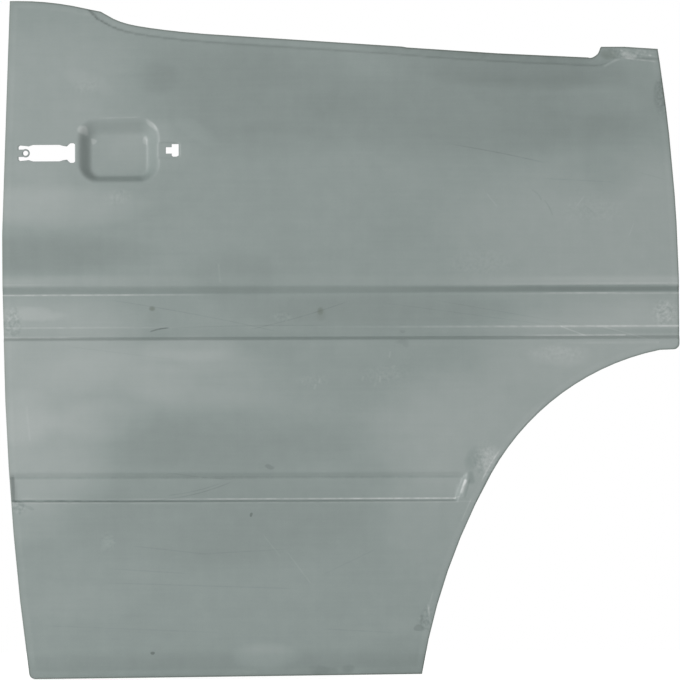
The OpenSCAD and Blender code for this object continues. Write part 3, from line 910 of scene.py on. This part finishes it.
def wandering(w, place):
    """The place, moved about by a few millimetres, for edges that aren't quite round."""
    wave_scale, reach = 0.045, 14.0
    uneven = w.put(
        "ShaderNodeTexNoise", {"Vector": place, "Scale": wave_scale, "Detail": 2.0}, "Color")
    uneven = w.put("ShaderNodeVectorMath", {
        0: w.put("ShaderNodeVectorMath", {0: uneven, 1: (0.5, 0.5, 0.5)}, operation="SUBTRACT"),
        "Scale": reach}, operation="SCALE")
    return w.put("ShaderNodeVectorMath", {0: place, 1: uneven}, operation="ADD")


def tone_of(w, sheet):
    return w.put("ShaderNodeSeparateXYZ", {0: sheet}, "Y")


def primer_colour(w, tone):
    """The primer's colour for a tone."""
    lightest = PRIMER_TONES[-1][0]
    share = w.math("MULTIPLY", tone, 1 / lightest)
    colour = w.put("ShaderNodeValToRGB", {"Fac": share}, "Color")
    stops = colour.node.color_ramp.elements
    stops[0].position, stops[0].color = 0.0, PRIMER_TONES[0][1]
    stops[1].position, stops[1].color = 1.0, PRIMER_TONES[-1][1]
    for step, shade in PRIMER_TONES[1:-1]:
        stops.new(step / lightest).color = shade
    return colour


def primed_steel(name, low, high, groups):
    """Sheet steel in dull grey-green zinc primer, scuffed, with painted highlights and shade along
    its bends and painted shade and sheen in broad clouds. It has the marks that lie between two
    heights of the sheet."""
    reach = (low - MARK_SPARE, high + MARK_SPARE)
    material = bpy.data.materials.new(name)
    material.use_nodes = True
    tree = material.node_tree
    w = Wiring(tree)
    place = w.put("ShaderNodeVectorMath", {
        0: w.put("ShaderNodeTexCoord", {}, "Object"), "Scale": 1 / MM}, operation="SCALE")
    along = w.put("ShaderNodeSeparateXYZ", {0: place}, "X")
    height = along.node.outputs["Z"]
    shifted = w.put("ShaderNodeSeparateXYZ", {0: wandering(w, place)}, "X")
    shifted_height = shifted.node.outputs["Z"]
    facing = w.put("ShaderNodeSeparateXYZ", {0: w.put("ShaderNodeTexCoord", {}, "Normal")}, "Y")
    outer = w.ramp(facing, start=-0.2, end=0.1, low=1.0, high=0.0)
    breaks = w.noise(place, scale=0.09, detail=3, low=0.45, high=1.15)
    specks = w.noise(place, scale=0.22, detail=3, low=-0.7, high=1.5)
    edge = w.put("ShaderNodeAttribute", {}, "Fac", attribute_name=EDGE)

    # Small marks first, on the wandering place, then clouds, scratches and lines on the true one
    plain = w.put("ShaderNodeGroup", {"Place": place}, node_tree=groups["grain"])
    small = w.put("ShaderNodeCombineXYZ", {"X": shifted, "Y": plain, "Z": shifted_height})
    small = add_marks(w, small, patch_marks(SPOTS), groups["patch"], 1.0, reach)
    small = add_marks(w, small, plain_patch_marks(SPECKLES), groups["patch"], specks, reach)
    marked = w.put("ShaderNodeCombineXYZ", {"X": along, "Y": tone_of(w, small), "Z": height})
    # Broad clouds of painted shade and painted sheen, partly the primer's cloudiness
    marked = add_marks(w, marked, patch_marks(SHADING_CLOUDS), groups["patch"], 1.0, reach)
    # Scratches and rubbed lines, with some lines of painted highlight and painted shade
    marked = add_marks(w, marked, scratch_and_painted_line_marks(), groups["scratch and painted line"], breaks, reach)
    # Painted highlights and painted shade along the bends
    marked = add_marks(w, marked, level_marks(), groups["level"], breaks, reach)
    # Strength of the painted shade on the hem's bend: none along the rear edge, whose bend faces
    # the lamp
    dull = w.ramp(along, start=-300, end=-250, low=0.0, high=0.3)
    edge_shaded = w.put("ShaderNodeGroup", {
        "Tone": tone_of(w, marked), "Edge": edge, "Breaks": breaks, "Bend shade": dull, "Scuff": 0.05,
    }, node_tree=groups["edge"])
    tone = w.put("ShaderNodeMix", {"Factor": outer, "A": plain, "B": edge_shaded})

    # Painted shade along the hem's bend, tinted towards the stains' olive-brown; the real stains
    # follow
    bend_shade_tint = w.ramp(edge, start=0.6, end=2.6, low=0.2, high=0.0)
    stain_and_bend_shade = w.put("ShaderNodeCombineXYZ", {"X": along, "Y": bend_shade_tint, "Z": height})
    stain_and_bend_shade = add_marks(w, stain_and_bend_shade, plain_patch_marks(STAINS), groups["patch"], 1.0, reach)
    colour = w.put("ShaderNodeMix", {
        "Factor": w.math("MULTIPLY", tone_of(w, stain_and_bend_shade), outer),
        6: primer_colour(w, tone), 7: STAIN_AND_BEND_SHADE_COLOUR}, 2, data_type="RGBA")

    rough = w.ramp(tone, start=0.7, end=1.4, low=0.6, high=0.36)
    fine = w.noise(place, scale=1.6, detail=4, low=-0.1, high=0.1)
    dents = w.put(
        "ShaderNodeBump", {"Height": fine, "Strength": 0.2, "Distance": 0.3 * MM}, "Normal")
    shader = tree.nodes["Principled BSDF"]
    tree.links.new(colour, shader.inputs["Base Color"])
    tree.links.new(rough, shader.inputs["Roughness"])
    tree.links.new(dents, shader.inputs["Normal"])
    return material


def finish_skin(skin):
    """Each stretch of the sheet gets the primer with its own marks."""
    groups = {"grain": grain_group(), "patch": patch_group(), "scratch and painted line": scratch_and_painted_line_group(),
              "level": level_group(), "edge": edge_group()}
    for name, low, high in STRETCHES:
        skin.data.materials.append(primed_steel(name, low, high, groups))
    for face in skin.data.polygons:
        height = face.center.z / MM
        face.material_index = next(
            i for i, (_, low, high) in enumerate(STRETCHES) if low <= height < high)


def seen_ray(w):
    """1 for rays that show the background: to the camera, in a reflection or through glass."""
    camera_ray = w.put("ShaderNodeLightPath", {}, "Is Camera Ray")
    path = camera_ray.node.outputs
    mirrored = w.math("MAXIMUM", path["Is Glossy Ray"], path["Is Transmission Ray"])
    return w.math("MAXIMUM", camera_ray, mirrored)


def set_world():
    """White where it is seen, and a soft light from all sides."""
    from_all_sides, where_seen = 0.45, 1.0
    world = bpy.data.worlds.new("studio")
    bpy.context.scene.world = world
    world.use_nodes = True
    tree = world.node_tree
    tree.nodes.clear()
    w = Wiring(tree)
    soft = w.put("ShaderNodeBackground", {"Color": WHITE, "Strength": from_all_sides})
    white = w.put("ShaderNodeBackground", {"Color": WHITE, "Strength": where_seen})
    either = w.put("ShaderNodeMixShader", {"Fac": seen_ray(w), 1: soft, 2: white})
    tree.links.new(either, tree.nodes.new("ShaderNodeOutputWorld").inputs["Surface"])


def add_floor():
    """A white floor under the lower edge. Away from the skin's shadow the camera sees it as plain
    white, like the world. The lamp's light comes through it from below, so that the foot of the
    skin is lit like the rest."""
    half_size, middle_x, below = 1.2, 0.15, 0.0035
    paint, roughness, glow = 0.9, 0.9, 0.7
    bm = bmesh.new()
    bmesh.ops.create_grid(bm, x_segments=1, y_segments=1, size=half_size)
    bmesh.ops.translate(bm, verts=bm.verts[:], vec=(middle_x, 0, -below))
    mesh = bpy.data.meshes.new("floor")
    bm.to_mesh(mesh)
    bm.free()
    floor = bpy.data.objects.new("floor", mesh)
    bpy.context.scene.collection.objects.link(floor)
    floor.visible_shadow = False
    material = bpy.data.materials.new("white_floor")
    material.use_nodes = True
    tree = material.node_tree
    shader = tree.nodes["Principled BSDF"].inputs
    shader["Base Color"].default_value = (paint, paint, paint, 1)
    shader["Roughness"].default_value = roughness
    shader["Specular IOR Level"].default_value = 0
    shader["Emission Color"].default_value = WHITE
    w = Wiring(tree)
    tree.links.new(w.math("MULTIPLY", seen_ray(w), glow), shader["Emission Strength"])
    mesh.materials.append(material)


def add_lamp(name, place, aim, size, watts):
    """A square soft lamp."""
    light = bpy.data.lights.new(name, "AREA")
    light.shape = "SQUARE"
    light.size = size
    light.energy = watts
    lamp = bpy.data.objects.new(name, light)
    lamp.location = place
    lamp.rotation_euler = (Vector(aim) - Vector(place)).to_track_quat("-Z", "Y").to_euler()
    bpy.context.scene.collection.objects.link(lamp)


def set_camera():
    """Far off and square to the panel, with a long lens and a slight roll."""
    camera = bpy.data.cameras.new("camera")
    holder = bpy.data.objects.new("camera", camera)
    bpy.context.scene.collection.objects.link(holder)
    distance, across, height = 14.0, 0.15162, 0.45708
    width_seen = 0.9248
    sensor = 36
    roll = 0.0038
    holder.location = (across, -distance, height)
    holder.rotation_euler = (pi / 2, roll, 0)
    camera.sensor_width = sensor
    camera.lens = sensor * distance / width_seen
    camera.clip_end = 100
    bpy.context.scene.camera = holder


skin = build_skin(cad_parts["door_skin"])
finish_skin(skin)
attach(skin, "root")
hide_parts("door_skin")

set_world()
add_floor()
add_lamp("key", place=(-12.0, -14.0, 0.5), aim=(0.15, 0, 0.45), size=9.0, watts=1730)
set_camera()
bpy.context.scene.view_settings.view_transform = "Standard"
